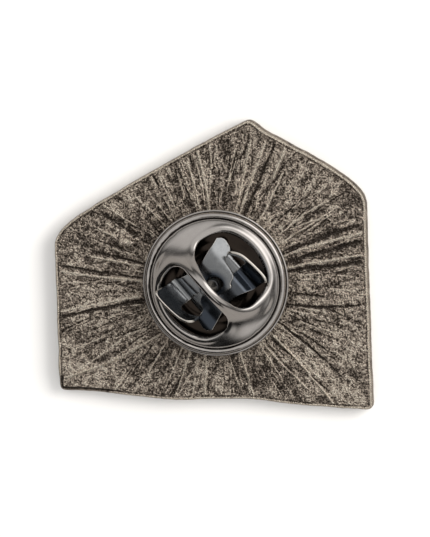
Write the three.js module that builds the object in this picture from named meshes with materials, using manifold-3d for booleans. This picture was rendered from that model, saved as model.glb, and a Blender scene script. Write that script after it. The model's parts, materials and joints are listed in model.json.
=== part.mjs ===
// Enamel pin lying on its enamelled face, with its butterfly clutch pushed onto the post.
// Millimetres, +Z up. The front face is at Z = 0 and the plate's outline is centred on the origin.

import * as THREE from 'three';
import { mergeVertices } from 'three/addons/utils/BufferGeometryUtils.js';
import Module from 'manifold-3d';

const wasm = await Module();
wasm.setup();

// Plate
const PLATE_THICKNESS = 1.6;
const EDGE_BEVEL = 0.22;
const CORNER_RADIUS = 0.5;
const RIM_WIDTH = 0.8;
const NIB = { x: -6.8, y: 1.82, lobeRadius: 0.52, lobeOffset: 0.48, height: 0.38 };

// Enamel cells on the front
const CELL_DEPTH = 0.55;
const CELL_WALL = 0.4;
const ENAMEL_SINK = 0.08;
const FILL_GAP = 0.03;
const SUN = { x: 0.6, y: -3.6, radius: 2.6 };
const RAY_COUNT = 8;
const RAY_START = THREE.MathUtils.degToRad(-20);
const RAY_SWEEP = THREE.MathUtils.degToRad(220);
const HILLS = [
  { name: 'enamel_hill_far', height: -4.9, swell: 0.55, phase: 0.4 },
  { name: 'enamel_hill_middle', height: -6.4, swell: 0.4, phase: 1.3 },
  { name: 'enamel_hill_near', height: -7.9, swell: 0.35, phase: 2.2 },
];
const HILL_WAVELENGTH = 15;

// Post
const POST = { x: 0.47, y: -1.08 };
const POST_RADIUS = 0.55;
const POST_GROOVE_RADIUS = 0.46;
const POST_LENGTH = 5.5;
const POST_POINT = 0.8;
const FOOT_RADIUS = 1.15;
const FOOT_THICKNESS = 0.22;
const FILLET_WIDTH = 0.35;

// Clutch, in its own frame: X along the bar of the cap, Y across it, Z = 0 under the base
const CLUTCH_LIFT = 1.2;
const CLUTCH_TURN = THREE.MathUtils.degToRad(-50);
const CLUTCH_RADIUS = 5.75;
const BASE_SHEET = 0.24;
const COLLAR_RADIUS = 0.78;
const CAP_SHEET = 0.22;
const CAP_RADIUS = 4.92;
const BAR_RISE = 2.55;
const BAR_REACH = 4.3;
const BAR_WIDTH = 1.6;
const OPENING = { inner: 0.8, halfLength: 3.25, outerRadius: 4.4, corner: 0.75 };

// Spring clip inside the clutch
const CLIP_SHEET = 0.22;
const WING_TOP = 3.35;
const WING_CURVE = 0.16;
const WING_MIDDLE = 0.9;
const GRIP_SLOT_RADIUS = 0.6;
const GRIP_SLOT_RUN = 0.45;
const LEAF_HEIGHTS = { upper: 1.45, lower: 1.87 };

const ROUND_SEGMENTS = 48;

// ---------------------------------------------------------------- materials

function metal(color, roughness) {
  return new THREE.MeshStandardMaterial({ color, roughness, metalness: 1 });
}

function enamel(color) {
  return new THREE.MeshStandardMaterial({ color, roughness: 0.15, metalness: 0 });
}

const antiqueMetal = () => metal(0x6f675e, 0.45);
const nickelSteel = () => metal(0xb9b5b0, 0.22);
const postSteel = () => metal(0xc4c1bb, 0.3);
const solderMetal = () => metal(0x8d8a86, 0.55);
const clipSteel = () => metal(0x9aa0a3, 0.2);

// ---------------------------------------------------------------- solids

function toSolid(geometry) {
  geometry.deleteAttribute('normal');
  geometry.deleteAttribute('uv');
  const merged = mergeVertices(geometry, 1e-5);
  const index = merged.index.array;
  const triangles = [];
  for (let i = 0; i < index.length; i += 3) {
    const [a, b, c] = [index[i], index[i + 1], index[i + 2]];
    if (a !== b && b !== c && c !== a) triangles.push(a, b, c);
  }
  return new wasm.Manifold(new wasm.Mesh({
    numProp: 3,
    vertProperties: Float32Array.from(merged.attributes.position.array),
    triVerts: Uint32Array.from(triangles),
  }));
}

function toGeometry(solid) {
  const mesh = solid.getMesh();
  const geometry = new THREE.BufferGeometry();
  geometry.setAttribute('position', new THREE.BufferAttribute(mesh.vertProperties, 3));
  geometry.setIndex(new THREE.BufferAttribute(mesh.triVerts, 1));
  geometry.computeVertexNormals();
  return geometry;
}

function namedMesh(name, solid, material) {
  const mesh = new THREE.Mesh(toGeometry(solid), material);
  mesh.name = name;
  return mesh;
}

// An upright prism of a flat shape between two heights.
function prism(shape, bottom, top, curveSegments = 6) {
  const depth = top - bottom;
  const geometry = new THREE.ExtrudeGeometry(shape, { depth, bevelEnabled: false, curveSegments });
  geometry.translate(0, 0, bottom);
  return toSolid(geometry);
}

// A ring or disc turned about Z from [radius, height] points that run anticlockwise round its section.
function turned(section, segments = ROUND_SEGMENTS) {
  const points = section.map(([radius, height]) => new THREE.Vector2(radius, height));
  if (section[0][0] > 0) points.push(points[0].clone());
  const geometry = new THREE.LatheGeometry(points, segments);
  geometry.rotateX(Math.PI / 2);
  return toSolid(geometry);
}

// ---------------------------------------------------------------- plate

const LOWER_LEFT = new THREE.Vector2(-12.32, -9.95);
const PEAK = new THREE.Vector2(2.95, 11.68);
const LOWER_RIGHT = new THREE.Vector2(12.58, -11.3);
const LEFT_SHOULDER = new THREE.Vector2(-12.564, 1.9);
const ROOF_FOOT_LEFT = new THREE.Vector2(-10.6, 4.08);
const ROOF_FOOT_RIGHT = new THREE.Vector2(10.6, 7.05);
const BOTTOM_WAVE = [
  [9.4, -11.1], [6.0, -10.88], [3.4, -10.54], [0, -10.5], [-3.1, -10.61], [-6.1, -10.33], [-9.9, -9.97],
].map(([x, y]) => new THREE.Vector2(x, y));

// Goes to a corner and rounds it with the given radius, or to its point when the radius is 0.
function turnCorner(shape, corner, next, radius) {
  const before = shape.currentPoint.clone().sub(corner).setLength(radius).add(corner);
  const after = next.clone().sub(corner).setLength(radius).add(corner);
  shape.lineTo(before.x, before.y);
  if (radius > 0) shape.quadraticCurveTo(corner.x, corner.y, after.x, after.y);
}

// The house-like outline, anticlockwise from the lower right, with its wavy lower edge last.
function plateOutline(cornerRadius) {
  const shape = new THREE.Shape();
  shape.moveTo(12.28, -2);
  shape.lineTo(12.15, 4.9);
  shape.quadraticCurveTo(12.1, 6.0, ROOF_FOOT_RIGHT.x, ROOF_FOOT_RIGHT.y);
  shape.quadraticCurveTo(8.6, 8.45, 4.4, 10.58);
  turnCorner(shape, PEAK, ROOF_FOOT_LEFT, cornerRadius);
  shape.quadraticCurveTo(-4.06, 8.08, ROOF_FOOT_LEFT.x, ROOF_FOOT_LEFT.y);
  shape.quadraticCurveTo(-12.3, 2.9, LEFT_SHOULDER.x, LEFT_SHOULDER.y);
  turnCorner(shape, LOWER_LEFT, BOTTOM_WAVE[BOTTOM_WAVE.length - 1], cornerRadius);
  const wave = new THREE.SplineCurve([shape.currentPoint.clone(), ...[...BOTTOM_WAVE].reverse()]);
  for (const point of wave.getPoints(28).slice(1)) shape.lineTo(point.x, point.y);
  turnCorner(shape, LOWER_RIGHT, new THREE.Vector2(12.28, -2), cornerRadius);
  return shape;
}

// The outline drawn in by a distance, between two heights, without points on straight runs.
function insetOutline(inset, bottom, top) {
  const corners = plateOutline(0).getPoints(6);
  const around = (list, i) => list[(i + list.length) % list.length];
  const drawnIn = corners.map((corner, i) => {
    const arriving = corner.clone().sub(around(corners, i - 1)).normalize();
    const leaving = around(corners, i + 1).clone().sub(corner).normalize();
    const inward = new THREE.Vector2(-arriving.y - leaving.y, arriving.x + leaving.x);
    return inward.multiplyScalar(inset / (1 + arriving.dot(leaving))).add(corner);
  });
  const turning = drawnIn.filter((point, i) => {
    const arriving = point.clone().sub(around(drawnIn, i - 1));
    const leaving = around(drawnIn, i + 1).clone().sub(point);
    return Math.abs(arriving.cross(leaving)) > 1e-3;
  });
  return prism(new THREE.Shape(turning), bottom, top);
}

function plateBlank() {
  const geometry = new THREE.ExtrudeGeometry(plateOutline(CORNER_RADIUS), {
    depth: PLATE_THICKNESS - 2 * EDGE_BEVEL,
    curveSegments: 6,
    bevelThickness: EDGE_BEVEL,
    bevelSize: EDGE_BEVEL,
    bevelOffset: -EDGE_BEVEL,
    bevelSegments: 2,
  });
  geometry.translate(0, 0, EDGE_BEVEL);
  return toSolid(geometry);
}

// The two-lobed cast nib on the back that stops the pin from turning in the cloth.
function nib() {
  const lobes = [-1, 1].map((side) => {
    const geometry = new THREE.SphereGeometry(1, 20, 12);
    geometry.rotateX(Math.PI / 2);
    geometry.scale(NIB.lobeRadius, NIB.lobeRadius * 1.05, NIB.height);
    geometry.translate(NIB.x + side * NIB.lobeOffset, NIB.y, PLATE_THICKNESS);
    return toSolid(geometry);
  });
  return lobes[0].add(lobes[1]);
}

// ---------------------------------------------------------------- enamel cells

function hillLine(hill, x) {
  return hill.height + hill.swell * Math.sin((2 * Math.PI * x) / HILL_WAVELENGTH + hill.phase);
}

// The band between one hill's crest and the next one's, or down past the plate for the last.
function hillBand(hill, below, gap) {
  const margin = CELL_WALL / 2 + gap;
  const reach = 14;
  const steps = 28;
  const crest = [];
  const foot = [];
  for (let i = 0; i <= steps; i += 1) {
    const x = -reach + (2 * reach * i) / steps;
    crest.push(new THREE.Vector2(x, hillLine(hill, x) - margin));
    foot.push(new THREE.Vector2(x, below ? hillLine(below, x) + margin : -reach));
  }
  return new THREE.Shape([...foot, ...crest.reverse()]);
}

function skyAbove(hill, gap) {
  const margin = CELL_WALL / 2 + gap;
  const reach = 14;
  const steps = 28;
  const points = [new THREE.Vector2(reach, reach), new THREE.Vector2(-reach, reach)];
  for (let i = 0; i <= steps; i += 1) {
    const x = -reach + (2 * reach * i) / steps;
    points.push(new THREE.Vector2(x, hillLine(hill, x) + margin));
  }
  return new THREE.Shape(points);
}

function circle(x, y, radius) {
  return new THREE.Shape().absarc(x, y, radius, 0, 2 * Math.PI, false);
}

// A wedge from the sun's centre, with half a wall taken off each side.
function rayWedge(number, gap) {
  const half = RAY_SWEEP / RAY_COUNT / 2;
  const middle = RAY_START + (2 * number + 1) * half;
  const setBack = (CELL_WALL / 2 + gap) / Math.sin(half);
  const apex = new THREE.Vector2(SUN.x, SUN.y);
  apex.add(new THREE.Vector2(Math.cos(middle), Math.sin(middle)).multiplyScalar(setBack));
  const reach = 24;
  const corners = [middle - half, middle + half].map((angle) => new THREE.Vector2(
    apex.x + reach * Math.cos(angle),
    apex.y + reach * Math.sin(angle),
  ));
  return new THREE.Shape([apex, ...corners]);
}

// Every cell's solid between two heights, drawn in by a gap on all sides.
function enamelCells(gap, bottom, top) {
  const field = insetOutline(RIM_WIDTH + gap, bottom, top);
  const sky = prism(skyAbove(HILLS[0], gap), bottom, top);
  const halo = prism(circle(SUN.x, SUN.y, SUN.radius + CELL_WALL / 2 + gap), bottom, top, 40);
  const disc = prism(circle(SUN.x, SUN.y, SUN.radius - CELL_WALL / 2 - gap), bottom, top, 40);
  const cells = new Map([['enamel_sun', field.intersect(sky).intersect(disc)]]);
  for (let i = 0; i < RAY_COUNT; i += 1) {
    const wedge = prism(rayWedge(i, gap), bottom, top);
    cells.set(`enamel_ray_${i + 1}`, field.intersect(sky).intersect(wedge).subtract(halo));
  }
  HILLS.forEach((hill, i) => {
    cells.set(hill.name, field.intersect(prism(hillBand(hill, HILLS[i + 1], gap), bottom, top)));
  });
  return cells;
}

const ENAMEL_COLORS = {
  enamel_sun: 0xe8b23a,
  enamel_hill_far: 0x4f8f8a,
  enamel_hill_middle: 0x2f6b5e,
  enamel_hill_near: 0x1f463f,
};
const RAY_COLORS = [0xd9683c, 0xf0e3c4];

function enamelColor(name, order) {
  return ENAMEL_COLORS[name] ?? RAY_COLORS[order % RAY_COLORS.length];
}

function buildFront() {
  const group = new THREE.Group();
  let plate = plateBlank().add(nib());
  for (const recess of enamelCells(0, -1, CELL_DEPTH).values()) plate = plate.subtract(recess);
  group.add(namedMesh('base_plate', plate, antiqueMetal()));
  const fills = enamelCells(FILL_GAP, ENAMEL_SINK, CELL_DEPTH - FILL_GAP);
  [...fills].forEach(([name, solid], order) => {
    group.add(namedMesh(name, solid, enamel(enamelColor(name, order))));
  });
  return group;
}

// ---------------------------------------------------------------- post

function buildPost() {
  const group = new THREE.Group();
  group.position.set(POST.x, POST.y, PLATE_THICKNESS + FILL_GAP);
  const length = POST_LENGTH - FILL_GAP;
  const pointStart = length - POST_POINT;
  const post = turned([
    [0, 0],
    [FOOT_RADIUS, 0],
    [FOOT_RADIUS, FOOT_THICKNESS],
    [POST_RADIUS + 0.12, FOOT_THICKNESS + 0.03],
    [POST_RADIUS, FOOT_THICKNESS + 0.15],
    [POST_RADIUS, pointStart - 1.0],
    [POST_GROOVE_RADIUS, pointStart - 0.88],
    [POST_GROOVE_RADIUS, pointStart - 0.6],
    [POST_RADIUS, pointStart - 0.48],
    [POST_RADIUS, pointStart - 0.1],
    [POST_RADIUS - 0.1, pointStart + 0.1],
    [0.1, length - 0.03],
    [0, length],
  ], 24);
  group.add(namedMesh('post', post, postSteel()));
  const inner = FOOT_RADIUS + FILL_GAP;
  const fillet = turned([
    [inner, 0],
    [inner + FILLET_WIDTH, 0],
    [inner + FILLET_WIDTH * 0.4, 0.07],
    [inner, FOOT_THICKNESS * 0.9],
  ], 24);
  group.add(namedMesh('solder_fillet', fillet, solderMetal()));
  return group;
}

// ---------------------------------------------------------------- clutch

// The round dish: a flat floor with a guide collar, and a rim rolled over the cap's flange.
function clutchBase() {
  const floorTop = BASE_SHEET;
  return turned([
    [COLLAR_RADIUS, 0],
    [4.6, 0],
    [5.3, 0.1],
    [5.62, 0.28],
    [CLUTCH_RADIUS, 0.52],
    [CLUTCH_RADIUS - 0.06, 0.78],
    [5.45, 0.92],
    [5.17, 0.9],
    [5.06, 0.8],
    [5.1, 0.7],
    [5.35, 0.7],
    [5.5, 0.62],
    [5.52, 0.48],
    [5.4, 0.35],
    [5.1, 0.28],
    [4.6, floorTop],
    [COLLAR_RADIUS + 0.24, floorTop],
    [COLLAR_RADIUS + 0.2, 0.5],
    [COLLAR_RADIUS, 0.5],
  ]);
}

// How far the bar stands above the dome at a place on the cap.
function barHeight(x, y) {
  if (Math.abs(x) >= BAR_REACH) return 0;
  const along = Math.cos((Math.PI * x) / (2 * BAR_REACH)) ** 2;
  return BAR_RISE * along * Math.exp(-((y / BAR_WIDTH) ** 2));
}

// One of the two openings beside the bar: straight along the bar, round at the rim.
function openingShape() {
  const { inner, halfLength, outerRadius, corner } = OPENING;
  const endY = Math.sqrt(outerRadius ** 2 - halfLength ** 2);
  const startAngle = Math.atan2(endY, halfLength) + 0.12;
  const arcX = outerRadius * Math.cos(startAngle);
  const arcY = outerRadius * Math.sin(startAngle);
  const shape = new THREE.Shape();
  shape.moveTo(-halfLength + corner, inner);
  shape.lineTo(halfLength - corner, inner);
  shape.quadraticCurveTo(halfLength, inner + 0.1, halfLength, inner + corner + 0.1);
  shape.lineTo(halfLength, endY - 0.5);
  shape.quadraticCurveTo(halfLength, endY, arcX, arcY);
  shape.absarc(0, 0, outerRadius, startAngle, Math.PI - startAngle, false);
  shape.quadraticCurveTo(-halfLength, endY, -halfLength, endY - 0.5);
  shape.lineTo(-halfLength, inner + corner + 0.1);
  shape.quadraticCurveTo(-halfLength, inner + 0.1, -halfLength + corner, inner);
  return shape;
}

// The domed cap: a shell turned about the post, its middle raised into the bar, and two openings cut.
function clutchCap() {
  const outer = [
    [5.38, 0.62], [4.99, 0.62], [CAP_RADIUS, 0.7], [4.9, 0.98], [4.8, 1.28], [4.58, 1.54], [4.25, 1.72],
    [3.8, 1.84], [3.4, 1.9], [3.0, 1.95], [2.6, 1.98], [2.2, 2.01], [1.8, 2.03], [1.4, 2.05], [1.0, 2.06],
    [0.6, 2.07], [0, 2.08],
  ];
  const inner = [
    [0, 2.08 - CAP_SHEET], [0.7, 1.85], [1.4, 1.83], [2.0, 1.8], [2.6, 1.76], [3.2, 1.7], [3.75, 1.61],
    [4.15, 1.49], [4.42, 1.33], [4.6, 1.12], [4.69, 0.92], [4.7, 0.54], [4.84, 0.4], [5.38, 0.4],
  ];
  const points = [...inner, ...outer].map(([radius, height]) => new THREE.Vector2(radius, height));
  const geometry = new THREE.LatheGeometry(points, 56);
  geometry.rotateX(Math.PI / 2);
  const position = geometry.attributes.position;
  for (let i = 0; i < position.count; i += 1) {
    const rise = barHeight(position.getX(i), position.getY(i));
    if (position.getZ(i) > 1.3) position.setZ(i, position.getZ(i) + rise);
  }
  const shell = toSolid(geometry);
  const opening = prism(openingShape(), 1.0, 8);
  return shell.subtract(opening).subtract(opening.rotate([0, 0, 180]));
}

// ---------------------------------------------------------------- spring clip

// The bent strip's section across the bar, from the wing's top edge to the far leaf's end.
function clipSection(leafHeight) {
  const middle = [
    [3.72, WING_TOP], [3.52, 2.4], [3.25, 1.6], [2.85, 1.08], [2.45, 0.95], [2.1, 1.12],
    [1.75, leafHeight - 0.08], [1.4, leafHeight], [0.3, leafHeight], [-0.9, leafHeight - 0.02],
    [-1.8, leafHeight - 0.2], [-2.7, 1.24], [-3.25, 0.98],
  ].map(([y, z]) => new THREE.Vector2(y, z));
  const curve = new THREE.SplineCurve(middle);
  const upper = [];
  const lower = [];
  const steps = 30;
  for (let i = 0; i <= steps; i += 1) {
    const point = curve.getPoint(i / steps);
    const tangent = curve.getTangent(i / steps);
    const across = new THREE.Vector2(-tangent.y, tangent.x).multiplyScalar(CLIP_SHEET / 2);
    upper.push(point.clone().sub(across));
    lower.push(point.clone().add(across));
  }
  return new THREE.Shape([...upper, ...lower.reverse()]);
}

// The strip's outline from above: wing and ramp on one side, gripping pad in the middle, leaf on the other.
function clipPlan() {
  const shape = new THREE.Shape();
  shape.moveTo(2.5, 4.4);
  shape.lineTo(-1.05, 4.4);
  shape.lineTo(-1.05, 2.75);
  shape.lineTo(0.25, 2.6);
  shape.lineTo(0.25, 1.35);
  shape.quadraticCurveTo(-0.95, 1.3, -1.05, 0.35);
  shape.lineTo(-1.05, -0.3);
  shape.quadraticCurveTo(-0.95, -0.9, 0.1, -0.95);
  shape.lineTo(0.45, -1.5);
  shape.lineTo(0.75, -2.2);
  shape.lineTo(1.2, -2.4);
  shape.lineTo(1.3, -3.4);
  shape.lineTo(2.3, -3.4);
  shape.quadraticCurveTo(2.6, -2.6, 2.35, -1.2);
  shape.lineTo(2.5, 2.0);
  return shape;
}

function gripSlot() {
  const shape = new THREE.Shape();
  shape.absarc(0, GRIP_SLOT_RUN, GRIP_SLOT_RADIUS, 0, Math.PI, false);
  shape.absarc(0, 0, GRIP_SLOT_RADIUS, Math.PI, 2 * Math.PI, false);
  return shape;
}

// One half of the clip. Its wing stands at +Y, and the strip runs under the bar to the leaf at -Y.
function clipHalf(leafHeight) {
  const halfWidth = 2.8;
  const geometry = new THREE.ExtrudeGeometry(clipSection(leafHeight), {
    depth: 2 * halfWidth,
    steps: 8,
    bevelEnabled: false,
  });
  geometry.translate(0, 0, -halfWidth);
  geometry.applyMatrix4(new THREE.Matrix4().makeBasis(
    new THREE.Vector3(0, 1, 0),
    new THREE.Vector3(0, 0, 1),
    new THREE.Vector3(1, 0, 0),
  ));
  const position = geometry.attributes.position;
  for (let i = 0; i < position.count; i += 1) {
    const lift = THREE.MathUtils.clamp((position.getZ(i) - 0.9) / (WING_TOP - 0.9), 0, 1);
    const onWing = position.getY(i) > 2 ? lift : 0;
    const bow = WING_CURVE * onWing * (position.getX(i) - WING_MIDDLE) ** 2;
    position.setY(i, position.getY(i) - bow);
  }
  const strip = toSolid(geometry);
  const underWing = new THREE.Shape([[-2, 1.5], [0.25, 1.5], [0.25, 5], [-2, 5]].map(([x, y]) => (
    new THREE.Vector2(x, y)
  )));
  return strip
    .intersect(prism(clipPlan(), 0, 6))
    .subtract(prism(underWing, 0, 1.75))
    .subtract(prism(gripSlot(), 0, 3));
}

// The springy arch that joins the two halves under the leaves.
function clipBridge() {
  const bend = new THREE.EllipseCurve(0, 0.34, 2.3, 0.5, 0, Math.PI, false);
  const outline = bend.getPoints(20);
  const inside = outline.map((point) => new THREE.Vector2(point.x * 0.93, 0.34 + (point.y - 0.34) * 0.6));
  const shape = new THREE.Shape([...outline, ...inside.reverse()]);
  const geometry = new THREE.ExtrudeGeometry(shape, { depth: 2.2, bevelEnabled: false });
  geometry.translate(0, 0, -1.1);
  geometry.applyMatrix4(new THREE.Matrix4().makeBasis(
    new THREE.Vector3(0, 1, 0),
    new THREE.Vector3(0, 0, 1),
    new THREE.Vector3(1, 0, 0),
  ));
  return toSolid(geometry).subtract(prism(circle(0, 0, COLLAR_RADIUS + 0.28), 0, 3, 24));
}

function buildClutch() {
  const group = new THREE.Group();
  group.position.set(POST.x, POST.y, PLATE_THICKNESS + CLUTCH_LIFT);
  group.rotation.z = CLUTCH_TURN;
  group.add(namedMesh('clutch_base', clutchBase(), nickelSteel()));
  group.add(namedMesh('clutch_cap', clutchCap(), nickelSteel()));
  group.add(namedMesh('clip_wing_a', clipHalf(LEAF_HEIGHTS.upper), clipSteel()));
  const opposite = namedMesh('clip_wing_b', clipHalf(LEAF_HEIGHTS.lower), clipSteel());
  opposite.rotation.z = Math.PI;
  group.add(opposite);
  group.add(namedMesh('clip_bridge', clipBridge(), clipSteel()));
  return group;
}

const pin = new THREE.Group();
pin.add(buildFront(), buildPost(), buildClutch());

export default pin;
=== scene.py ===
"""Enamel pin lying on its face: textured cast back, post, butterfly clutch and recessed enamel.

Every length is in millimetres until a mesh is made, which is where MM turns it into metres.
The clutch is drawn in a frame of its own: X along the cap's bar, Y across it, Z = 0 under its base.
"""

import json
import math

import bmesh
import bpy
import numpy as np
from mathutils import Matrix, Vector, geometry


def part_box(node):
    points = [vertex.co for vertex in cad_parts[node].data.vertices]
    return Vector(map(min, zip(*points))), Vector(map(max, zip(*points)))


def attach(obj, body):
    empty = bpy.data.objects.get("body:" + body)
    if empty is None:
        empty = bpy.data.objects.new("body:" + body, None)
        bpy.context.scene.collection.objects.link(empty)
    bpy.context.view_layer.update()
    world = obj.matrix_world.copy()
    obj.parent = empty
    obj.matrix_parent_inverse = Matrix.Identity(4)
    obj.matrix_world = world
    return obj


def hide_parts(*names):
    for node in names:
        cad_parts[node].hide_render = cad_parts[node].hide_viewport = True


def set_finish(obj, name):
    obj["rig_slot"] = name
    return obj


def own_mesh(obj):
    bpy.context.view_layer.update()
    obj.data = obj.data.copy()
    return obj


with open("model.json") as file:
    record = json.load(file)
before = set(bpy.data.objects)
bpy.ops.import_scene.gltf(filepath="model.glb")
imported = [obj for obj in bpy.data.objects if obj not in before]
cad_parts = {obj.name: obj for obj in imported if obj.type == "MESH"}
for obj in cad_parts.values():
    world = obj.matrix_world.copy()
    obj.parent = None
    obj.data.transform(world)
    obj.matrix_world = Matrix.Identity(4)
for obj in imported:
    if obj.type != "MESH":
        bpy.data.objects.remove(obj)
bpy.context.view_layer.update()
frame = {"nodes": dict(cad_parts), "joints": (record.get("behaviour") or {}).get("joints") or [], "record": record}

MM = 0.001
TAU = 2 * math.pi


# ---------------- places from the frame

def corners_mm(node):
    """A CAD node's lowest and highest corners in millimetres."""
    low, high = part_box(node)
    return np.array(low) / MM, np.array(high) / MM


def node_points(node):
    """The corner points of a CAD node in millimetres."""
    return np.array([v.co for v in bpy.data.objects[node].data.vertices]) / MM


TOUCHING_GAP = 0.03  # what the CAD leaves between parts that touch

POST_LOW, POST_HIGH = corners_mm("post")
AXIS = (POST_LOW + POST_HIGH)[:2] / 2
BACK_Z = POST_LOW[2] - TOUCHING_GAP
CLUTCH_Z = corners_mm("clutch_base")[0][2]
SQUEEZE = next(j for j in frame["joints"] if j["name"] == "wing_a_squeeze")["axis"]
CLUTCH_TURN = math.atan2(SQUEEZE[0], -SQUEEZE[1])
ENAMEL_NODES = sorted(n for n in frame["nodes"] if n.startswith("enamel_"))
ENAMEL_Z = corners_mm("enamel_sun")[0][2]
CELL_FLOOR_Z = corners_mm("enamel_sun")[1][2] + TOUCHING_GAP

PLATE_POINTS = node_points("base_plate")
NIB_POINTS = PLATE_POINTS[PLATE_POINTS[:, 2] > BACK_Z + 0.1]
NIB_CENTRE = (NIB_POINTS.min(0) + NIB_POINTS.max(0))[:2] / 2
NIB_HEIGHT = NIB_POINTS[:, 2].max() - BACK_Z - 0.03


# ---------------- noise

def lattice(ix, iy, seed):
    """A repeatable number from 0 to 1 for each whole-numbered place, hashed with large odd factors."""
    n = (ix.astype(np.int64) * 374761393 + iy.astype(np.int64) * 668265263 + seed * 144269) & 0xFFFFFFFF
    n = ((n ^ (n >> 13)) * 1274126177) & 0xFFFFFFFF
    return ((n ^ (n >> 16)) & 0xFFFFFF) / float(0xFFFFFF)


def noise(x, y, seed):
    """Smooth value noise from -1 to 1, with features about one unit across."""
    ix, iy = np.floor(x), np.floor(y)
    fx, fy = x - ix, y - iy
    ux = fx * fx * fx * (fx * (fx * 6 - 15) + 10)
    uy = fy * fy * fy * (fy * (fy * 6 - 15) + 10)
    low = lattice(ix, iy, seed) * (1 - ux) + lattice(ix + 1, iy, seed) * ux
    high = lattice(ix, iy + 1, seed) * (1 - ux) + lattice(ix + 1, iy + 1, seed) * ux
    return 2 * (low * (1 - uy) + high * uy) - 1


def layered_noise(x, y, seed, octaves=3):
    """Several sizes of noise added up, each half as wide and half as strong as the last."""
    total, strength, size, turn = 0.0, 1.0, 1.0, 0.0
    for octave in range(octaves):
        c, s = math.cos(turn), math.sin(turn)
        total = total + strength * noise((x * c - y * s) * size, (x * s + y * c) * size, seed + octave)
        strength, size, turn = strength * 0.55, size * 1.9, turn + 0.7
    return total


def smoothstep(low, high, value):
    """From 0 at low to 1 at high, flat beyond both, whichever of them is larger."""
    t = np.clip((value - low) / (high - low), 0, 1)
    return t * t * (3 - 2 * t)


# ---------------- lines

def line_lengths(points):
    """How far along an open line each of its points is."""
    return np.concatenate([[0], np.cumsum(np.linalg.norm(np.diff(points, axis=0), axis=1))])


def spline(points, steps, closed=False):
    """A Catmull-Rom curve through points, with a number of steps for each stretch."""
    points = np.asarray(points, dtype=float)
    count = len(points)
    stretches = count if closed else count - 1
    out = []
    for i in range(stretches):
        if closed:
            a, b, c, d = (points[(i + k) % count] for k in (-1, 0, 1, 2))
        else:
            b, c = points[i], points[i + 1]
            a = points[i - 1] if i > 0 else 2 * b - c
            d = points[i + 2] if i + 2 < count else 2 * c - b
        for t in np.arange(steps) / steps:
            out.append(0.5 * (
                2 * b + (c - a) * t + (2 * a - 5 * b + 4 * c - d) * t**2 + (3 * b - a - 3 * c + d) * t**3
            ))
    if not closed:
        out.append(points[-1])
    return np.array(out)


def smooth_closed(points, spread):
    """A closed line's points, each averaged with its neighbours over a spread counted in points."""
    reach = int(3 * spread)
    weights = np.exp(-0.5 * (np.arange(-reach, reach + 1) / spread) ** 2)
    weights /= weights.sum()
    return sum(w * np.roll(points, k, axis=0) for w, k in zip(weights, range(-reach, reach + 1)))


def even_points(loop, count):
    """A closed line's points, spaced evenly along it."""
    closed = np.vstack([loop, loop[:1]])
    along = line_lengths(closed)
    wanted = np.linspace(0, along[-1], count, endpoint=False)
    return np.stack([np.interp(wanted, along, closed[:, k]) for k in range(2)], axis=1)


def inward_normals(loop):
    """Unit normals that point into an anticlockwise closed line."""
    along = np.roll(loop, -1, axis=0) - np.roll(loop, 1, axis=0)
    along /= np.linalg.norm(along, axis=1)[:, None]
    return np.stack([-along[:, 1], along[:, 0]], axis=1)


def chain_edges(edges):
    """The vertex numbers of each closed loop that a set of directed edges makes."""
    following = dict(edges)
    loops = []
    while following:
        start = next(iter(following))
        loop = [start]
        nxt = following.pop(start)
        while nxt != start:
            loop.append(nxt)
            nxt = following.pop(nxt)
        loops.append(loop)
    return loops


def refined(loop, longest=0.3):
    """A closed line with points added so that no stretch is longer than a limit."""
    out = []
    for a, b in zip(loop, np.roll(loop, -1, axis=0)):
        pieces = math.ceil(round(np.linalg.norm(b - a) / longest, 6))
        out += [a + (b - a) * k / pieces for k in range(pieces)]
    return np.array(out)


def moved_in(loop, distance):
    """A closed anticlockwise line drawn inwards, its corners kept."""
    arriving = loop - np.roll(loop, 1, axis=0)
    leaving = np.roll(loop, -1, axis=0) - loop
    arriving /= np.linalg.norm(arriving, axis=1)[:, None]
    leaving /= np.linalg.norm(leaving, axis=1)[:, None]
    inward = np.stack([-arriving[:, 1] - leaving[:, 1], arriving[:, 0] + leaving[:, 0]], axis=1)
    return loop + inward * (distance / np.maximum(1 + np.sum(arriving * leaving, axis=1), 0.35))[:, None]


def curve(a, toward, b, steps=8):
    """Points along a quadratic curve from a to b that bends towards a third point, without its last."""
    t = (np.arange(steps) / steps)[:, None]
    a, toward, b = np.array(a), np.array(toward), np.array(b)
    return (1 - t) ** 2 * a + 2 * t * (1 - t) * toward + t**2 * b


def loop_area(loop):
    """Twice the signed area inside a closed line."""
    return np.sum(loop[:, 0] * np.roll(loop[:, 1], -1) - np.roll(loop[:, 0], -1) * loop[:, 1])


def inside_loop(points, loop):
    """Whether each point lies inside a closed line."""
    result = np.zeros(len(points), dtype=bool)
    for (ax, ay), (bx, by) in zip(loop, np.roll(loop, -1, axis=0)):
        crosses = (ay > points[:, 1]) != (by > points[:, 1])
        at = ax + (points[:, 1] - ay) * (bx - ax) / (by - ay if by != ay else 1)
        result ^= crosses & (points[:, 0] < at)
    return result


def distance_to_loop(points, loop):
    """How far each point is from a closed line."""
    a, b = loop, np.roll(loop, -1, axis=0)
    along = b - a
    t = np.einsum("pij,ij->pi", points[:, None] - a, along) / np.maximum((along**2).sum(1), 1e-12)
    nearest = a + np.clip(t, 0, 1)[..., None] * along
    return np.linalg.norm(points[:, None] - nearest, axis=-1).min(1)


def grid_inside(loop, step, margin):
    """Places on a square grid inside a closed line, further from it than a margin."""
    low, high = loop.min(0), loop.max(0)
    x, y = np.meshgrid(np.arange(low[0], high[0], step), np.arange(low[1], high[1], step))
    grid = np.column_stack([x.ravel(), y.ravel()])
    grid = grid[inside_loop(grid, loop)]
    return grid[distance_to_loop(grid, loop) > margin]


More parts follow.
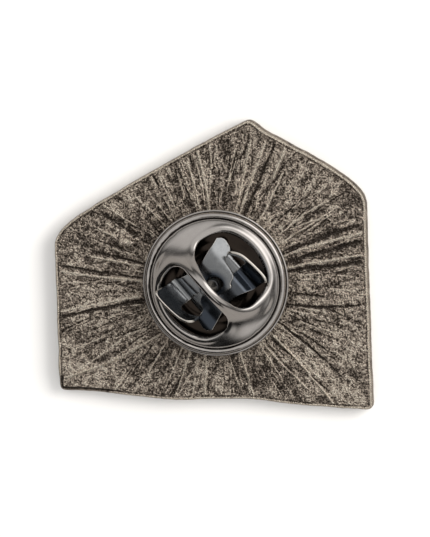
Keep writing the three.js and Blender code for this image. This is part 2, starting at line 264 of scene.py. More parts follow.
def triangulated(places, rings, inside, nearest):
    """Triangles between places, with rings of them kept as edges: the places, the triangles and their sources."""
    made = geometry.delaunay_2d_cdt([Vector(p) for p in places], [], rings, inside, nearest)
    return np.array([tuple(v) for v in made[0]]), np.array([f for f in made[2] if len(f) == 3]), made[3]


def at_height(places, height):
    """Flat places lifted to one height."""
    return np.column_stack([places, np.full(len(places), height)])


# ---------------- meshes

def new_piece(name, points, faces, body, slot, node, smooth_angle=None):
    """A mesh object from points in millimetres, riding on its body and standing for its CAD node."""
    mesh = bpy.data.meshes.new(name)
    groups = [np.asarray(group, dtype=np.int32) for group in faces if len(group)]
    loops = np.concatenate([group.ravel() for group in groups])
    sizes = np.concatenate([np.full(len(group), group.shape[1], dtype=np.int32) for group in groups])
    starts = np.concatenate([[0], np.cumsum(sizes)[:-1]]).astype(np.int32)
    mesh.vertices.add(len(points))
    mesh.vertices.foreach_set("co", (np.asarray(points) * MM).astype(np.float32).ravel())
    mesh.loops.add(len(loops))
    mesh.loops.foreach_set("vertex_index", loops)
    mesh.polygons.add(len(sizes))
    mesh.polygons.foreach_set("loop_start", starts)
    mesh.update(calc_edges=True)
    mesh.validate()
    mesh.polygons.foreach_set("use_smooth", np.ones(len(mesh.polygons), dtype=bool))
    if smooth_angle is not None:
        mesh.set_sharp_from_angle(angle=math.radians(smooth_angle))
    piece = bpy.data.objects.new(name, mesh)
    bpy.context.scene.collection.objects.link(piece)
    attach(piece, body)
    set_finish(piece, slot)
    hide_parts(node)
    return piece


def store(piece, name, values):
    """Keeps a value for each vertex, for the piece's material to use."""
    kept = piece.data.attributes.new(name, "FLOAT", "POINT")
    kept.data.foreach_set("value", np.asarray(values, dtype=np.float32))


def ring_faces(rings, around, first=0):
    """Quads between rings of points that each go all the way round."""
    i, j = np.meshgrid(np.arange(rings - 1), np.arange(around), indexing="ij")
    a = first + i * around + j
    b = first + i * around + (j + 1) % around
    return np.stack([a, b, b + around, a + around], axis=-1).reshape(-1, 4)


def fan(ring_start, around, centre):
    """Triangles from a ring of points to one point in its middle."""
    j = np.arange(around)
    return np.stack([ring_start + j, ring_start + (j + 1) % around, np.full(around, centre)], axis=-1)


def strip(first, second):
    """Quads between two closed rings of vertex numbers."""
    return np.stack([first, second, np.roll(second, -1), np.roll(first, -1)], axis=-1)


def facing_down(triangles, points):
    """Triangles turned so that their normals point to -Z."""
    a, b, c = (points[triangles[:, k]][:, :2] for k in range(3))
    area = (b[:, 0] - a[:, 0]) * (c[:, 1] - a[:, 1]) - (b[:, 1] - a[:, 1]) * (c[:, 0] - a[:, 0])
    triangles = triangles[np.abs(area) > 1e-9]
    area = area[np.abs(area) > 1e-9]
    return np.where((area > 0)[:, None], triangles[:, ::-1], triangles)


def filled(points, *rings):
    """Triangles facing -Z that fill what closed rings of vertex numbers go round, less the rings inside it."""
    flat = [[Vector((*points[i][:2], 0)) for i in ring] for ring in rings]
    numbers = np.array([i for ring in rings for i in ring])
    return facing_down(numbers[np.array(geometry.tessellate_polygon(flat))], points)


def turned_points(section, around, wobble=None):
    """Rings of points that turn [radius, height] points about the post."""
    angle = np.linspace(0, TAU, around, endpoint=False)
    radius, height = (np.repeat(column[:, None], around, axis=1) for column in np.asarray(section).T)
    if wobble:
        radius, height = wobble(radius, height, angle[None, :])
    points = np.stack([AXIS[0] + radius * np.cos(angle), AXIS[1] + radius * np.sin(angle), height], axis=-1)
    return points.reshape(-1, 3)


def turned_piece(name, section, around, body, slot, node, wobble):
    """A piece turned about the post from a closed section."""
    last = (len(section) - 1) * around
    j = np.arange(around)
    k = (j + 1) % around
    closing = np.stack([last + j, last + k, k, j], axis=-1)
    faces = [ring_faces(len(section), around), closing]
    return new_piece(name, turned_points(section, around, wobble), faces, body, slot, node, smooth_angle=50)


def edit_mesh(piece, change):
    """Changes a piece's mesh with a function of its bmesh."""
    work = bmesh.new()
    work.from_mesh(piece.data)
    change(work)
    work.to_mesh(piece.data)
    work.free()
    piece.data.update()


def vertex_normals(piece):
    """The direction that the surface faces at each vertex."""
    normals = np.empty(len(piece.data.vertices) * 3, dtype=np.float32)
    piece.data.vertices.foreach_get("normal", normals)
    return normals.reshape(-1, 3)


def thicken(piece, thickness):
    """Gives an open sheet its thickness, below its faces."""
    solid = piece.modifiers.new("sheet", "SOLIDIFY")
    solid.thickness = thickness * MM
    solid.offset = -1
    solid.use_even_offset = True
    solid.thickness_clamp = 1.2
    graph = bpy.context.evaluated_depsgraph_get()
    done = bpy.data.meshes.new_from_object(piece.evaluated_get(graph), depsgraph=graph)
    old = piece.data
    piece.modifiers.clear()
    piece.data = done
    bpy.data.meshes.remove(old)


def clutch_to_pin(points):
    """Points from the clutch's own frame into the pin's."""
    c, s = math.cos(CLUTCH_TURN), math.sin(CLUTCH_TURN)
    x, y, z = points[..., 0], points[..., 1], points[..., 2]
    return np.stack([AXIS[0] + x * c - y * s, AXIS[1] + x * s + y * c, CLUTCH_Z + z], axis=-1)


# ---------------- plate

OUTLINE_POINTS = 1280
OUTLINE_SMOOTHING = 0.13
HIDDEN_RINGS = 16  # under the clutch
FIELD_RINGS = 120
FIELD_MARGIN = 0.36

# Each layer of the cast texture: how high it stands and how wide its features are.
PEBBLE, PEBBLE_SIZE = 0.016, 0.34
GRAIN, GRAIN_SIZE = 0.024, 0.135
STREAK, STREAK_WIDTH, STREAK_LENGTH = 0.012, 0.2, 1.6
STREAK_RADIUS = 8.5  # where the streaks have their width
SWELL, SWELL_SIZE = 0.05, 2.4

# How far the patina is rubbed off a flat place and the nib, from 0 to 1, and the heights that add 1 to it.
RUBBED_FLAT, RUBBED_ON_NIB = 0.44, 0.42
RUBBED_BY_TEXTURE, RUBBED_BY_RIDGE = 0.085, 0.06

# Cast ridges on the back: angle at the clutch, angle at the far end (degrees), start and end radius,
# half-width and height. A negative height is a groove.
RIDGES = [
    (193.5, 193.0, 5.8, 13.0, 0.16, -0.13), (190.5, 191.0, 5.8, 13.0, 0.12, 0.05),
    (223.0, 212.6, 5.8, 14.2, 0.11, 0.10), (214.0, 209.0, 6.2, 9.5, 0.09, 0.05),
    (249.6, 251.0, 5.6, 9.4, 0.08, 0.07), (263.2, 265.0, 5.6, 9.2, 0.10, 0.08),
    (289.9, 289.0, 5.6, 9.4, 0.10, 0.11), (281.0, 283.5, 5.6, 8.6, 0.07, 0.06),
    (309.0, 312.0, 5.8, 11.5, 0.09, 0.08), (319.1, 314.7, 5.8, 13.6, 0.12, 0.11),
    (329.1, 324.2, 5.8, 12.4, 0.11, -0.09), (344.5, 353.4, 5.8, 12.2, 0.12, -0.10),
    (10.5, 9.0, 5.8, 11.9, 0.16, -0.10), (13.2, 11.6, 5.8, 12.0, 0.12, 0.09),
    (17.5, 16.8, 5.8, 12.3, 0.18, -0.12),
    (22.6, 19.6, 5.6, 12.5, 0.13, 0.10), (26.0, 22.5, 5.6, 12.8, 0.15, -0.10),
    (32.1, 32.4, 5.8, 11.0, 0.09, 0.07), (37.0, 39.0, 5.8, 9.6, 0.08, 0.06),
    (54.6, 59.0, 5.8, 10.6, 0.11, 0.08), (61.0, 62.8, 9.4, 12.2, 0.14, 0.12),
    (66.5, 67.0, 5.8, 12.4, 0.12, -0.07), (70.7, 70.4, 5.8, 12.0, 0.11, 0.10),
    (74.0, 76.0, 5.8, 11.6, 0.10, 0.09),
    (94.4, 98.0, 5.8, 10.8, 0.13, 0.13), (101.4, 103.2, 5.8, 10.3, 0.10, 0.10),
    (118.2, 118.0, 7.4, 10.4, 0.08, 0.06), (131.2, 133.5, 5.8, 9.6, 0.06, 0.07),
    (144.6, 145.9, 7.6, 11.4, 0.07, 0.07), (149.0, 149.0, 7.0, 10.6, 0.16, -0.06),
    (167.9, 168.7, 5.8, 10.0, 0.09, 0.08), (165.4, 166.2, 5.8, 10.0, 0.10, -0.08),
    (179.0, 176.3, 5.8, 12.6, 0.10, 0.07), (176.6, 174.2, 5.8, 12.6, 0.10, -0.09),
]
FINE_RIDGES = 260
RIDGE_NARROWING = 0.72
RIDGE_WANDER = 0.035
HUB = AXIS + np.array([-0.27, -0.23])
HUB_TURN = 0.6

NIB_LOBES = ((-0.34, -0.04), (0.40, 0.10))
NIB_RADIUS = 0.60
SLUMP = 0.28  # how far the back rolls down at its lower left corner


def plate_outline():
    """The CAD plate's outline, evenly spaced, its facets rounded off and its edge a little uneven."""
    mesh = bpy.data.objects["base_plate"].data
    z = PLATE_POINTS[:, 2]
    wall = [tuple(e.vertices) for e in mesh.edges]
    wall = [(a, b) for a, b in wall if abs(z[a] - z[b]) < 0.01 and 0.9 < z[a] < BACK_Z - 0.15]
    loop = PLATE_POINTS[sorted({v for edge in wall for v in edge})][:, :2]
    loop = loop[np.argsort(np.arctan2(loop[:, 1] - AXIS[1], loop[:, 0] - AXIS[0]))]
    even = even_points(loop, OUTLINE_POINTS)
    step = np.linalg.norm(even[1] - even[0])
    even = smooth_closed(even, OUTLINE_SMOOTHING / step)
    x, y = even.T
    wander = 0.03 * noise(x * 0.9, y * 0.9, 3) + 0.012 * noise(x * 3, y * 3, 4)
    return even + inward_normals(even) * (wander + 0.03)[:, None]


def from_hub(x, y):
    """How far places are from the middle of the fan of ridges, and in which direction, in radians."""
    dx, dy = x - HUB[0], y - HUB[1]
    return np.hypot(dx, dy), np.arctan2(dy, dx)


def ridge_height(x, y):
    """The cast ridges and grooves that run out from the post."""
    radius, angle = from_hub(x, y)
    angle = (np.degrees(angle) + HUB_TURN) % 360
    rng = np.random.default_rng(12)
    ridges = list(RIDGES)
    for _ in range(FINE_RIDGES):
        start = rng.uniform(5.2, 9.5)
        direction = rng.uniform(0, 360)
        ridges.append((
            direction, direction + rng.uniform(-4, 4), start, start + rng.uniform(1.2, 4.5),
            rng.uniform(0.04, 0.08), rng.choice([-1, 1]) * rng.uniform(0.012, 0.06),
        ))
    total = np.zeros_like(x)
    wander = RIDGE_WANDER * noise((x - HUB[0]) * 0.8, (y - HUB[1]) * 0.8, 21)
    for near, far, start, end, width, height in ridges:
        share = (radius - start) / (end - start)
        here = near + (far - near) * np.clip(share, 0, 1)
        off = (angle - here + 180) % 360 - 180
        across = np.radians(off) * radius + wander
        fade = smoothstep(-0.04, 0.08, share) * smoothstep(1.06, 0.86, share)
        broken = 0.75 + 0.5 * noise(radius * 1.3 + near, np.full_like(radius, near), 31)
        total += height * broken * fade * np.exp(-(across / (RIDGE_NARROWING * width)) ** 2)
    return total


def nib_height(x, y):
    """The two low lobes of the nib, which run into each other."""
    rough = 0.10 * noise(x / 0.3, y / 0.3, 45)
    total = np.zeros_like(x)
    for lobe_x, lobe_y in NIB_LOBES:
        d = np.hypot(x - NIB_CENTRE[0] - lobe_x, y - NIB_CENTRE[1] - lobe_y) / NIB_RADIUS + rough
        total = total + np.exp(-((d / 0.72) ** 2))
    return NIB_HEIGHT * 0.8 * np.clip(total, 0, 1.2)


def back_relief(x, y):
    """Height of the cast back over its flat, and how bright each place is, from 0 to 1: rubbed bright where it
    stands high, and lighter towards the lower left and the right.
    """
    radius, angle = from_hub(x, y)
    warp_x, warp_y = (0.12 * noise(x * 2.1, y * 2.1, seed) for seed in (41, 42))
    pebble = layered_noise((x + warp_x) / PEBBLE_SIZE, (y + warp_y) / PEBBLE_SIZE, 51, 2)
    grain = layered_noise((x + warp_y) / GRAIN_SIZE, (y + warp_x) / GRAIN_SIZE, 55, 2)
    streak = layered_noise(angle * STREAK_RADIUS / STREAK_WIDTH, radius / STREAK_LENGTH, 61, 3)
    swell = layered_noise(x / SWELL_SIZE, y / SWELL_SIZE, 71, 2)
    ridges = ridge_height(x, y)
    fine = PEBBLE * pebble + GRAIN * grain + STREAK * streak * smoothstep(3, 6, radius)
    lobes = nib_height(x, y)
    off_nib = 1 - 0.4 * smoothstep(0.02, 0.12, lobes)
    off_foot = smoothstep(1.6, 2.6, radius)
    height = (fine * off_nib + ridges + SWELL * swell) * off_foot + lobes
    patches = noise(x / 2.8, y / 2.8, 81) * 0.13 + 0.07 * noise(x / 0.9, y / 0.9, 82)
    # the back is made lighter towards the lower left and towards the right edge
    sides = 0.10 * smoothstep(-2, -12, x) * smoothstep(4, -8, y) + 0.08 * smoothstep(6, 12, x)
    wear_and_highlight = RUBBED_FLAT + fine / RUBBED_BY_TEXTURE + np.clip(ridges, -0.06, 0.2) / RUBBED_BY_RIDGE + patches + sides
    wear_and_highlight = wear_and_highlight + smoothstep(0.08, 0.3, lobes) * RUBBED_ON_NIB
    return height, np.clip(wear_and_highlight, 0, 1)


def enamel_loop(node):
    """The outline of an enamel fill, anticlockwise seen from +Z, in millimetres."""
    co = np.round(node_points(node), 4)
    low = co[:, 2].min()
    directed = set()
    for polygon in bpy.data.objects[node].data.polygons:
        places = [tuple(co[i]) for i in polygon.vertices]
        if all(z < low + 0.01 for _, _, z in places):
            directed |= {(a[:2], b[:2]) for a, b in zip(places, places[1:] + places[:1])}
    border = [edge for edge in directed if edge[::-1] not in directed]
    loop = np.array(max(chain_edges(border), key=len))
    return loop if loop_area(loop) > 0 else loop[::-1]


def build_plate(loops):
    """The whole cast plate as one closed mesh: back, edge, front rim, cell walls and cell floors."""
    outline = plate_outline()
    inward = inward_normals(smooth_closed(outline, 3))
    field_edge = outline + inward * FIELD_MARGIN
    share = np.concatenate([
        np.linspace(0.03, 0.40, HIDDEN_RINGS, endpoint=False), np.linspace(0.40, 1.0, FIELD_RINGS),
    ])
    rings, heights, bright = [], [], []
    for s in share:
        ring = AXIS + s * (field_edge - AXIS)
        height, wear_and_highlight = back_relief(ring[:, 0], ring[:, 1])
        rings.append(ring)
        heights.append(BACK_Z + height)
        bright.append(wear_and_highlight)
    rim_height, rim_rubbed = back_relief(outline[:, 0], outline[:, 1])
    x, y = outline.T
    slump = smoothstep(-6.5, -9.5, x) * smoothstep(-8.4, -9.0, y)
    uneven = 0.35 * (rim_rubbed - 0.4) + 0.18 * noise(x / 0.7, y / 0.7, 83)
    top = BACK_Z
    # From the back's border over the worn edge and a parting line to the front: inset, height,
    # how much of the texture's height it takes on, and how bright it is: rubbed wear, with a painted highlight along
    # the top of the edge.
    edge = [
        (0.30, top - 0.02, 0.8, 0.38), (0.235, top - 0.045, 0.5, 0.15), (0.19, top - 0.03, 0.5, 0.6),
        (0.135, top - 0.005, 0.4, 1.1), (0.08, top - 0.03, 0.25, 1.15), (0.035, top - 0.10, 0.1, 0.95),
        (0.01, top - 0.20, 0, 0.7), (0.0, top - 0.32, 0, 0.5), (0.02, top - 0.37, 0, 0.2),
        (0.02, top - 0.43, 0, 0.2), (0.0, top - 0.48, 0, 0.5), (0.0, 0.75, 0, 0.6), (0.0, 0.3, 0, 0.75),
        (0.03, 0.15, 0, 0.85), (0.10, 0.05, 0, 0.9), (0.2, 0.005, 0, 0.9), (0.24, 0.0, 0, 0.8),
    ]
    for inset, height, texture, wear_and_highlight in edge:
        slumped = slump if height > 1.0 else 0 * slump
        rings.append(outline + inward * inset)
        roll = slumped * SLUMP * smoothstep(0.45, 0.0, inset)
        heights.append(np.clip(height + texture * rim_height - roll, 0, None))
        # painted shade: the edge is made darker where the back rolls down at its lower left corner
        bright.append(np.clip(wear_and_highlight + uneven - 0.6 * slumped, 0, 1))
    around = len(outline)
    points = np.concatenate([np.column_stack([r, h]) for r, h in zip(rings, heights)])
    wear_and_highlight = np.concatenate(bright)
    centre = len(points)
    points = np.vstack([points, [[AXIS[0], AXIS[1], BACK_Z]]])
    wear_and_highlight = np.append(wear_and_highlight, 0.4)
    triangles = [fan(0, around, centre)]
    front_start = (len(rings) - 1) * around
    front = [range(front_start, front_start + around)]
    quads = [ring_faces(len(rings), around)[:, ::-1]]
    # From the front down a cell's wall to its floor: inset, height, and how bright it is rubbed.
    levels = [(-0.06, 0.0, 0.85), (-0.02, 0.02, 0.9), (0.0, 0.07, 0.7), (0.0, CELL_FLOOR_Z, 0.1)]
    for loop in loops:
        start = len(points)
        for inset, height, value in levels:
            points = np.vstack([points, at_height(moved_in(loop, inset), height)])
            wear_and_highlight = np.append(wear_and_highlight, np.full(len(loop), value))
        quads.append(ring_faces(len(levels), len(loop), start))
        front.append(range(start, start + len(loop)))
        floor = start + (len(levels) - 1) * len(loop)
        triangles.append(filled(points, range(floor, floor + len(loop))))
    triangles.append(filled(points, *front))
    faces = [*quads, np.vstack(triangles)]
    plate = new_piece("base_plate_cast", points, faces, "pin", "antique_nickel", "base_plate", smooth_angle=60)
    # the brightness kept here is rubbed wear and patina, with a painted highlight along the plate's edge
    store(plate, "wear_and_highlight", wear_and_highlight)
    return plate


# ---------------- enamel

ENAMEL_GRID = 0.4
ENAMEL_SHOULDER = 0.09  # how far in the ring lies that carries the meniscus
MENISCUS, MENISCUS_WIDTH = 0.05, 0.25


def build_enamel(node, loop):
    """A fill with a shallow dished surface that climbs a little where it meets the cell's wall."""
    border = moved_in(loop, 0.004)
    shoulder = moved_in(loop, ENAMEL_SHOULDER)
    shoulder = shoulder[distance_to_loop(shoulder, border) > 0.06]
    flat = np.vstack([border, shoulder, grid_inside(border, ENAMEL_GRID, 0.16)])
    places, faces, _ = triangulated(flat, [list(range(len(border)))], 1, 1e-5)
    dip = MENISCUS * smoothstep(0, MENISCUS_WIDTH, distance_to_loop(places, border)) - 0.045
    surface = ENAMEL_Z + dip + 0.006 * noise(places[:, 0], places[:, 1], 91)
    points = np.column_stack([places, surface])
    faces = facing_down(faces, points)
    directed = {(int(f[k]), int(f[(k + 1) % 3])) for f in faces for k in range(3)}
    rim = np.array(chain_edges([edge for edge in directed if edge[::-1] not in directed])[0])
    start = len(points)
    back = start + np.arange(len(rim))
    points = np.vstack([points, at_height(places[rim], CELL_FLOOR_Z - 0.01)])
    walls = np.stack([np.roll(rim, -1), rim, back, np.roll(back, -1)], axis=-1)
    lid = filled(points, back)[:, ::-1]
    slot = next(s["material_slot"] for s in frame["record"]["subparts"] if s["node"] == node)
    return new_piece(f"{node}_fill", points, [walls, faces, lid], "pin", slot, node, smooth_angle=40)


# ---------------- post and solder

# How far the point stays below the CAD post's, so that it clears the lips under the bar.
POINT_GAP = 0.12
POST_FACETS = 72
SOLDER_FACETS = 128


def build_post():
    """The nail-like post: foot disc, shank with a drawn groove, and a rounded point."""
    top = POST_HIGH[2] - POINT_GAP
    foot = POST_LOW[2]
    section = spline([
        (1.02, foot), (1.12, foot + 0.03), (1.15, foot + 0.11), (1.11, foot + 0.19), (0.95, foot + 0.225),
        (0.72, foot + 0.25), (0.59, foot + 0.33), (0.55, foot + 0.5), (0.55, foot + 1.8), (0.55, foot + 3.5),
        (0.545, top - 1.84), (0.47, top - 1.7), (0.46, top - 1.55), (0.47, top - 1.42), (0.54, top - 1.3),
        (0.55, top - 1.0), (0.52, top - 0.78), (0.40, top - 0.52), (0.24, top - 0.22), (0.12, top - 0.05),
        (0.03, top),
    ], 5)
    points = turned_points(section, POST_FACETS)
    lower = fan(0, POST_FACETS, len(points))[:, ::-1]
    upper = fan((len(section) - 1) * POST_FACETS, POST_FACETS, len(points) + 1)
    faces = [ring_faces(len(section), POST_FACETS), lower, upper]
    points = np.vstack([points, [*AXIS, foot], [*AXIS, top]])
    return new_piece("post_pin", points, faces, "pin", "post_steel", "post", smooth_angle=60)


def build_fillet():
    """The uneven collar of solder round the post's foot."""
    low, high = corners_mm("solder_fillet")
    inner = 1.17
    outer = (high - low)[0] / 2
    section = spline([
        (inner, low[2]), (outer - 0.05, low[2]), (outer, low[2] + 0.02), (outer - 0.1, low[2] + 0.05),
        (inner + 0.1, low[2] + 0.12), (inner + 0.02, low[2] + 0.19), (inner, low[2] + 0.18),
    ], 5, closed=True)

    def wobble(radius, height, angle):
        x, y = np.cos(angle), np.sin(angle)
        lumps = noise(3 * x, 3 * y, 7) + 0.5 * noise(8 * x, 8 * y, 8)
        out = (radius - inner) / (outer - inner)
        lift = 0.02 * lumps * np.clip(height - low[2], 0, 0.1) * 5
        return radius - 0.09 * out * (lumps + 1.2) / 2, height + lift

    return turned_piece("solder_collar", section, SOLDER_FACETS, "pin", "solder", "solder_fillet", wobble)


# ---------------- clutch base

DISH_FACETS = 512


def build_clutch_base():
    """The dish with its pressed floor ring and guide collar, its rim rolled over and crimped."""
    section = spline([
        (0.80, 0.02), (0.95, 0.0), (1.5, 0.0), (2.2, 0.02), (2.6, 0.10), (3.0, 0.11), (3.4, 0.03), (4.2, 0.0),
        (4.8, 0.0), (5.25, 0.05), (5.55, 0.17), (5.72, 0.32), (5.75, 0.40), (5.71, 0.465), (5.63, 0.475),
        (5.585, 0.49), (5.57, 0.55), (5.565, 0.66), (5.52, 0.80), (5.44, 0.89), (5.33, 0.925), (5.22, 0.89),
        (5.15, 0.82), (5.135, 0.76), (5.17, 0.72), (5.30, 0.71), (5.45, 0.66), (5.50, 0.54), (5.40, 0.40),
        (5.15, 0.29), (4.8, 0.24), (4.2, 0.24), (3.4, 0.27), (3.0, 0.35), (2.6, 0.34), (2.2, 0.26), (1.5, 0.24),
        (1.15, 0.26), (1.02, 0.34), (0.99, 0.46), (0.94, 0.51), (0.85, 0.51), (0.79, 0.46), (0.78, 0.2),
    ], 4, closed=True)
    section[:, 1] += CLUTCH_Z

    def wobble(radius, height, angle):
        x, y = np.cos(angle), np.sin(angle)
        lip = smoothstep(5.3, 5.1, radius) * smoothstep(4.9, 5.0, radius) * (height > CLUTCH_Z + 0.68)
        upper_left = smoothstep(0.2, 0.9, x * -0.64 + y * 0.77)
        ragged = 0.03 * noise(9 * x, 9 * y, 5) + upper_left * 0.05 * noise(30 * x, 30 * y, 6)
        bead = smoothstep(CLUTCH_Z + 0.6, CLUTCH_Z + 0.9, height)
        dents = 0.012 * bead * (noise(5 * x, 5 * y, 9) + 0.6 * noise(14 * x, 14 * y, 10))
        return radius + lip * ragged + 0.008 * noise(4 * x, 4 * y, 11) * (radius > 5), height + dents

    dish = turned_piece("clutch_base_dish", section, DISH_FACETS, "clutch", "nickel_plate", "clutch_base", wobble)
    places = np.array([v.co for v in dish.data.vertices]) / MM
    radius = np.hypot(places[:, 0] - AXIS[0], places[:, 1] - AXIS[1])
    facing = smoothstep(-0.2, 0.2, vertex_normals(dish)[:, 2])
    height = places[:, 2] - CLUTCH_Z
    groove = smoothstep(5.70, 5.60, radius) * smoothstep(5.53, 5.56, radius) * smoothstep(0.72, 0.62, height)
    lip_edge = smoothstep(5.24, 5.16, radius) * (radius > 5.0) * (height > 0.55)
    # painted shade: the dish's upward faces under the cap, the groove in the rim and the inner edge of the rolled
    # lip are marked to be made near black
    store(dish, "inside", np.clip(facing * (radius < 5.1) * (height < 0.7) + groove + 0.8 * lip_edge, 0, 1))
    return dish


# ---------------- clutch cap

CAP_SHEET = 0.2
BAR_RISE = 2.5
BAR_REACH = 4.6
BAR_FLANK = 1.5
BAR_SWEEP = 0.085
CAP_OFF_CENTRE = 0.15
SHOULDER = (0.07, 0.15, 0.3)  # rise, distance from the opening's edge and spread
LIP_LENGTH = (0.36, 0.72)  # at the bar and at the rim
LIP_STEPS = 14
LIP_BEND = 106
OPENING_START = 0.30
OPENING_FLARE = 0.03
OPENING_HALF_LENGTH = 3.45
OPENING_OUTER = 4.76
OPENING_CORNER = 1.05
OPENING_MIDDLE = np.array([0, 2.4])
CAP_RAYS = 480
CAP_RINGS = 56
DOME = spline([
    (0.0, 2.08), (1.0, 2.06), (2.0, 2.00), (3.0, 1.88), (3.7, 1.73), (4.2, 1.56), (4.6, 1.37), (4.9, 1.17),
    (5.03, 1.05), (5.07, 0.96), (5.075, 0.80), (5.09, 0.68), (5.16, 0.625), (5.38, 0.61),
], 12)
DOME_ALONG = line_lengths(DOME)


def bar_height(x, y):
    """How far the bar stands over the dome."""
    along = np.clip(np.cos(np.pi * np.clip(x / (2 * BAR_REACH), -0.5, 0.5)), 0, 1) ** 1.5
    return BAR_RISE * along * np.exp(-(((y - BAR_SWEEP * x * np.abs(x)) / BAR_FLANK) ** 2))


def cap_surface(flat):
    """Lifts places on the cap, measured along its surface from the post, to points in the clutch's frame."""
    along = np.linalg.norm(flat, axis=-1)
    turn = np.arctan2(flat[..., 1], flat[..., 0])
    radius, height = (np.interp(along, DOME_ALONG, column) for column in DOME.T)
    x, y = radius * np.cos(turn), radius * np.sin(turn)
    rise, past, spread = SHOULDER
    shoulder = rise * np.exp(-(((opening_distance(flat) - past) / spread) ** 2))
    lifted = (bar_height(x, y) + shoulder) * smoothstep(4.95, 4.5, radius)
    return np.stack([x, y, height + lifted], axis=-1)


def opening_distance(point):
    """Below zero inside the opening: the overlap of a disc, a strip and a half-plane with blended corners."""
    walls = np.stack([
        OPENING_START + OPENING_FLARE * point[:, 0] ** 2 - point[:, 1],
        np.abs(point[:, 0] + 0.05) - OPENING_HALF_LENGTH,
        np.linalg.norm(point + [0.05, 0], axis=1) - OPENING_OUTER,
    ])
    reach = np.clip(walls + OPENING_CORNER, 0, None)
    return np.sqrt((reach**2).sum(0)) - OPENING_CORNER


def opening_reach(direction):
    """How far the opening's edge is from its middle, along each direction."""
    near, far = np.zeros(len(direction)), np.full(len(direction), 6.0)
    for _ in range(40):
        middle = (near + far) / 2
        inside = opening_distance(OPENING_MIDDLE + direction * middle[:, None]) < 0
        near, far = np.where(inside, middle, near), np.where(inside, far, middle)
    return near


def lip_rings(loop, length):
    """Rings that roll the cap's surface down over the opening's edge and a little under itself."""
    inward = inward_normals(loop)
    edge = cap_surface(loop)
    onward = cap_surface(loop + inward * 0.02) - cap_surface(loop - inward * 0.02)
    onward /= np.linalg.norm(onward, axis=1)[:, None]
    around = np.roll(edge, -1, axis=0) - np.roll(edge, 1, axis=0)
    down = np.cross(around, onward)
    down /= -np.linalg.norm(down, axis=1)[:, None]
    rings = []
    forward = drop = 0.0
    for k in range(LIP_STEPS):
        share = (k + 0.5) / LIP_STEPS
        bend = math.radians(LIP_BEND * smoothstep(-0.15, 0.95, share))
        forward += math.cos(bend) / LIP_STEPS
        drop += math.sin(bend) / LIP_STEPS
        rings.append(edge + (onward * forward + down * drop) * length[:, None])
    return rings[::-1]


def weld_cap(work):
    """Joins the cap's two halves where they meet and turns the faces outwards."""
    bmesh.ops.remove_doubles(work, verts=work.verts, dist=0.0005 * MM)
    if sum(f.normal.z * f.calc_area() for f in work.faces) < 0:
        bmesh.ops.reverse_faces(work, faces=work.faces)


def build_clutch_cap():
    """The pressed cap: dome, bar, lips round both openings, side wall and flange."""
    tau = np.linspace(0, TAU, CAP_RAYS, endpoint=False)
    direction = np.stack([np.cos(tau), np.sin(tau)], axis=-1)
    near = opening_reach(direction)
    along = direction @ OPENING_MIDDLE
    to_circle = -along + np.sqrt(along**2 - OPENING_MIDDLE @ OPENING_MIDDLE + DOME_ALONG[-1] ** 2)
    falling = np.maximum(-direction[:, 1], 1e-6)
    to_line = np.where(direction[:, 1] < -1e-6, OPENING_MIDDLE[1] / falling, 1e9)
    far = np.minimum(to_circle, to_line)
    length = LIP_LENGTH[0] + (LIP_LENGTH[1] - LIP_LENGTH[0]) * smoothstep(-0.5, 0.5, direction[:, 1])
    rings = lip_rings(OPENING_MIDDLE + direction * near[:, None], length)
    for share in np.linspace(0, 1, CAP_RINGS):
        rings.append(cap_surface(OPENING_MIDDLE + direction * (near + share * (far - near))[:, None]))
    half = np.concatenate(rings)
    faces = ring_faces(len(rings), CAP_RAYS)
    points = np.vstack([half, half * np.array([-1, -1, 1])])
    points[:, 1] -= CAP_OFF_CENTRE * smoothstep(4.9, 3.2, np.hypot(points[:, 0], points[:, 1]))
    faces = [faces, faces + len(half)]
    cap = new_piece("clutch_cap_dome", clutch_to_pin(points), faces, "cap", "nickel_plate", "clutch_cap")
    edit_mesh(cap, weld_cap)
    thicken(cap, CAP_SHEET)
    # painted shade: the cap's downward faces, its underside, are marked to be made near black
    store(cap, "inside", smoothstep(0.1, -0.3, vertex_normals(cap)[:, 2]))
    return cap


# ---------------- spring clip

CLIP_SHEET = 0.2
EDGE_ROUND = 0.045
EDGE_TURNS = (30, 60, 90, -90, -60, -30)  # where the rounded edge has points, in degrees from its sides
CLIP_STEP, CLIP_GRID, CLIP_MARGIN = 0.1, 0.13, 0.11
GRIP_SLOT = 0.6
GRIP_RUN = 0.65
LEAF_HEIGHTS = {"wing_a": 1.45, "wing_b": 1.87}
TONGUES = {"wing_a": 0.05, "wing_b": -0.65}
# painted shade, from 0 to 1, on the low parts of each clip half
PAINTED_SHADE_BY_PART = {"wing_a": 0.85, "wing_b": 0.0}
WING_CURL = spline([
    (-1.5, 1.35), (-1.2, 0.95), (-1.0, 0.70), (-0.7, 0.45), (-0.24, 0.24), (0.4, 0.12), (1.0, 0.05), (1.7, 0.0),
    (2.2, 0.03), (2.5, 0.18), (2.8, 0.4),
], 8)


def stadium(radius, run, steps=20):
    """The loop round a slot that runs from the post a little way across the bar."""
    turn = np.linspace(0, math.pi, steps)
    upper = np.column_stack([radius * np.cos(turn), run + radius * np.sin(turn)])
    return np.vstack([upper, -upper + np.array([0, run])])


